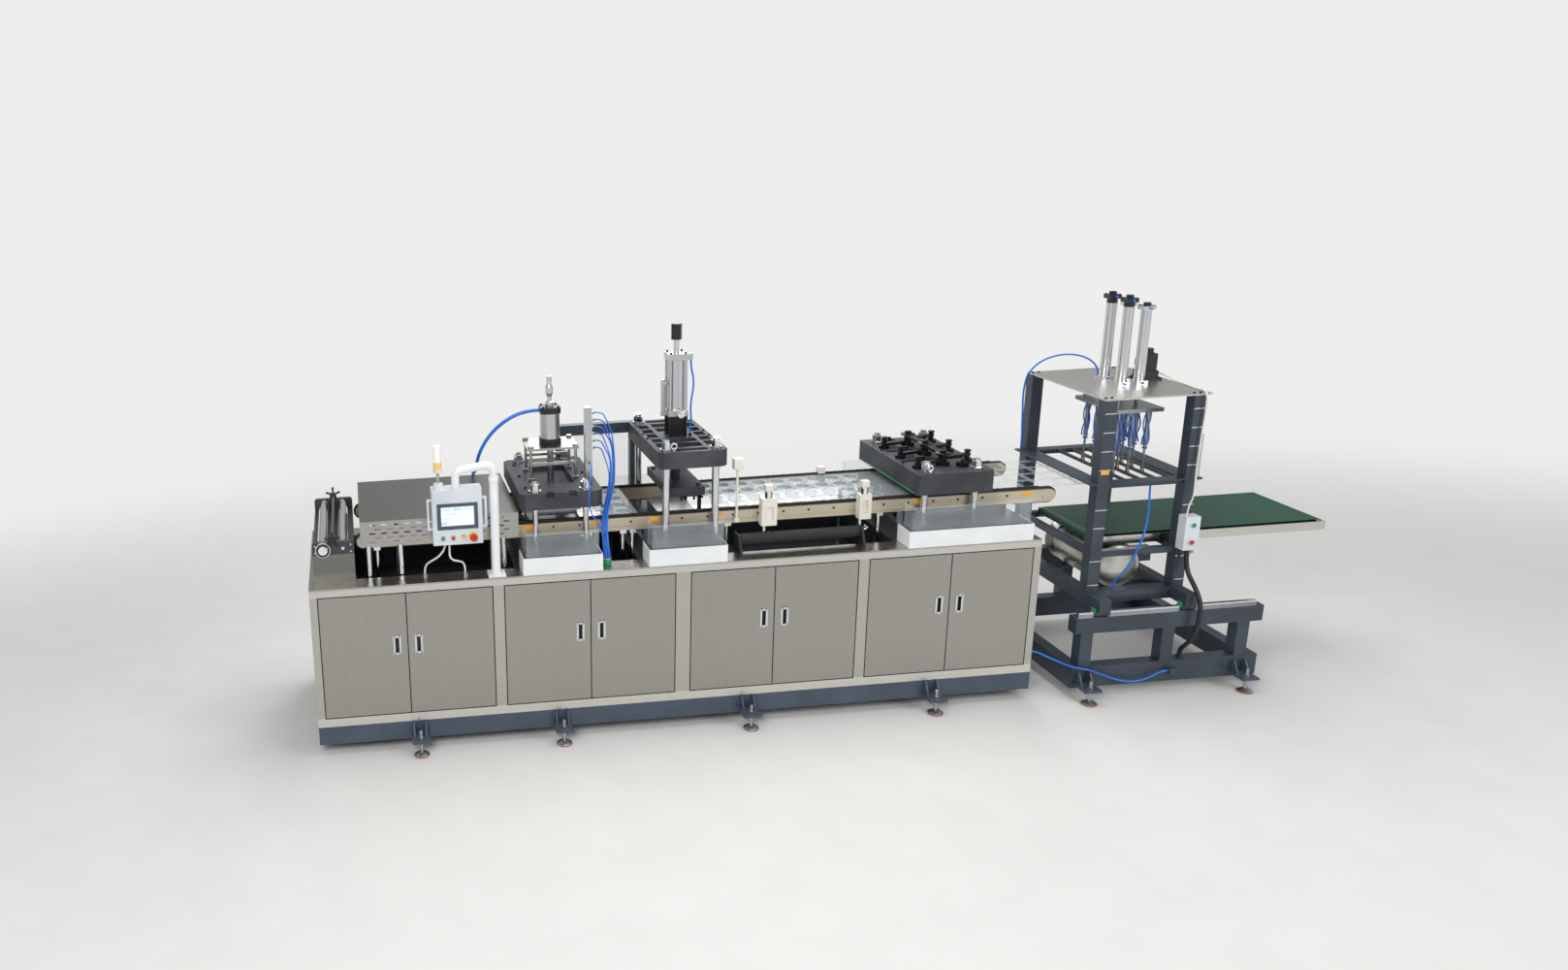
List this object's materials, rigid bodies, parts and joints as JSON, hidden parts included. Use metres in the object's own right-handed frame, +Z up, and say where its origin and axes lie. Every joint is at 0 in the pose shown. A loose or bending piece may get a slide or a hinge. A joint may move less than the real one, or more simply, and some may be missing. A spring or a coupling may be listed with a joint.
{
  "type": "thermoforming machine",
  "caption": "Inline thermoforming machine on stainless cabinets with doors, oven, press stations, chain rails, swivel control panel and a stacking station with belt conveyor.",
  "frame": {"origin": "on the floor in the middle of the line's length and depth", "axes": "+X along the line from infeed to outfeed, +Y to the back, +Z up"},
  "size_m": [6.56, 1.4278, 2.486],
  "materials": {
    "slate_paint": "semi-gloss slate paint",
    "foot_steel": "zinc-plated steel on a rubber pad",
    "stainless": "brushed stainless sheet",
    "bright_stainless": "bright stainless",
    "black_paint": "black paint",
    "champagne_rail": "champagne anodised aluminium",
    "chain_steel": "oiled chain",
    "dark_casting": "dark grey casting",
    "polished_steel": "polished shaft",
    "white_paint": "white powder coat",
    "panel_grey": "light grey powder coat",
    "button_plastic": "coloured plastic caps",
    "beacon_plastic": "clear and amber plastic",
    "white_skirt": "white coated sheet",
    "acrylic": "clear acrylic",
    "cylinder_aluminium": "anodised aluminium",
    "tool_aluminium": "machined aluminium",
    "black_casting": "black oxide casting",
    "rubber_black": "black rubber cover",
    "cream_casting": "white coated air unit",
    "clear_film": "clear thermoforming film",
    "blue_tube": "blue polyurethane tube",
    "cable_jacket": "white cable jacket",
    "guide_steel": "ground steel",
    "green_belt": "green belt cover"
  },
  "bodies": {
    "machine": {"base_frame": "slate_paint", "foot_brackets": "slate_paint", "levelling_feet": "foot_steel", "cabinet_shell": "stainless", "front_frame": "bright_stainless", "counter_top": "stainless", "well_liners": "black_paint", "chain_rails": "champagne_rail", "feed_chains": "chain_steel", "infeed_bracket": "dark_casting", "infeed_rollers": "polished_steel", "oven_cover": "stainless", "support_posts": "polished_steel", "panel_post": "white_paint", "press_beds": "dark_casting", "station_skirts": "white_skirt", "guard_panels": "acrylic", "press_columns": "polished_steel", "forming_head": "dark_casting", "cylinder_stand": "stainless", "forming_cylinder": "cylinder_aluminium", "punch_head": "dark_casting", "punch_cylinder": "cylinder_aluminium", "cutting_head": "dark_casting", "toggle_links": "black_casting", "lower_tools": "tool_aluminium", "air_manifold": "cylinder_aluminium", "feed_roller": "rubber_black", "web_clamps": "cream_casting", "film_web": "clear_film", "air_hoses": "blue_tube", "power_cables": "cable_jacket", "rear_beam": "slate_paint", "stacker_base": "slate_paint", "guide_rails": "guide_steel"},
    "door_1": {"door_1": "stainless"},
    "door_2": {"door_2": "stainless"},
    "door_3": {"door_3": "stainless"},
    "door_4": {"door_4": "stainless"},
    "door_5": {"door_5": "stainless"},
    "door_6": {"door_6": "stainless"},
    "door_7": {"door_7": "stainless"},
    "door_8": {"door_8": "stainless"},
    "control_panel": {"panel_arm": "white_paint", "panel_box": "panel_grey", "panel_buttons": "button_plastic", "panel_beacon": "beacon_plastic"},
    "forming_plug": {"forming_plug": "tool_aluminium"},
    "punch_platen": {"punch_platen": "dark_casting"},
    "stacker_carriage": {"stacker_frame": "slate_paint", "stacker_top": "stainless", "lift_cylinders": "cylinder_aluminium", "lift_motor": "black_paint", "conveyor_frame": "cylinder_aluminium", "conveyor_belt": "green_belt", "air_tank": "stainless", "control_box": "panel_grey", "air_regulator": "cylinder_aluminium", "stacker_hoses": "blue_tube"},
    "pick_head": {"pick_head": "tool_aluminium"}
  },
  "joints": [
    {"name": "door_1_hinge", "type": "hinge", "parent": "machine", "child": "door_1", "pos_m": [-3.229, -0.54, 0.6345], "axis": [0, 0, -1], "range_deg": [0, 90]},
    {"name": "door_2_hinge", "type": "hinge", "parent": "machine", "child": "door_2", "pos_m": [-2.193, -0.54, 0.6345], "axis": [0, 0, 1], "range_deg": [0, 90]},
    {"name": "door_3_hinge", "type": "hinge", "parent": "machine", "child": "door_3", "pos_m": [-2.117, -0.54, 0.6345], "axis": [0, 0, -1], "range_deg": [0, 90]},
    {"name": "door_4_hinge", "type": "hinge", "parent": "machine", "child": "door_4", "pos_m": [-1.081, -0.54, 0.6345], "axis": [0, 0, 1], "range_deg": [0, 90]},
    {"name": "door_5_hinge", "type": "hinge", "parent": "machine", "child": "door_5", "pos_m": [-0.979, -0.54, 0.6345], "axis": [0, 0, -1], "range_deg": [0, 90]},
    {"name": "door_6_hinge", "type": "hinge", "parent": "machine", "child": "door_6", "pos_m": [0.057, -0.54, 0.6345], "axis": [0, 0, 1], "range_deg": [0, 90]},
    {"name": "door_7_hinge", "type": "hinge", "parent": "machine", "child": "door_7", "pos_m": [0.133, -0.54, 0.6345], "axis": [0, 0, -1], "range_deg": [0, 90]},
    {"name": "door_8_hinge", "type": "hinge", "parent": "machine", "child": "door_8", "pos_m": [1.169, -0.54, 0.6345], "axis": [0, 0, 1], "range_deg": [0, 90]},
    {"name": "control_panel_swivel", "type": "hinge", "parent": "machine", "child": "control_panel", "pos_m": [-2.158, -0.482, 1.66], "axis": [0, 0, 1], "range_deg": [0, 120]},
    {"name": "forming_plug_slide", "type": "slide", "parent": "machine", "child": "forming_plug", "axis": [0, 0, -1], "range_m": [0, 0.08]},
    {"name": "punch_platen_slide", "type": "slide", "parent": "machine", "child": "punch_platen", "axis": [0, 0, -1], "range_m": [0, 0.09]},
    {"name": "stacker_carriage_slide", "type": "slide", "parent": "machine", "child": "stacker_carriage", "axis": [1, 0, 0], "range_m": [-0.1, 0.1]},
    {"name": "pick_head_slide", "type": "slide", "parent": "stacker_carriage", "child": "pick_head", "axis": [0, 0, -1], "range_m": [0, 0.35]}
  ]
}
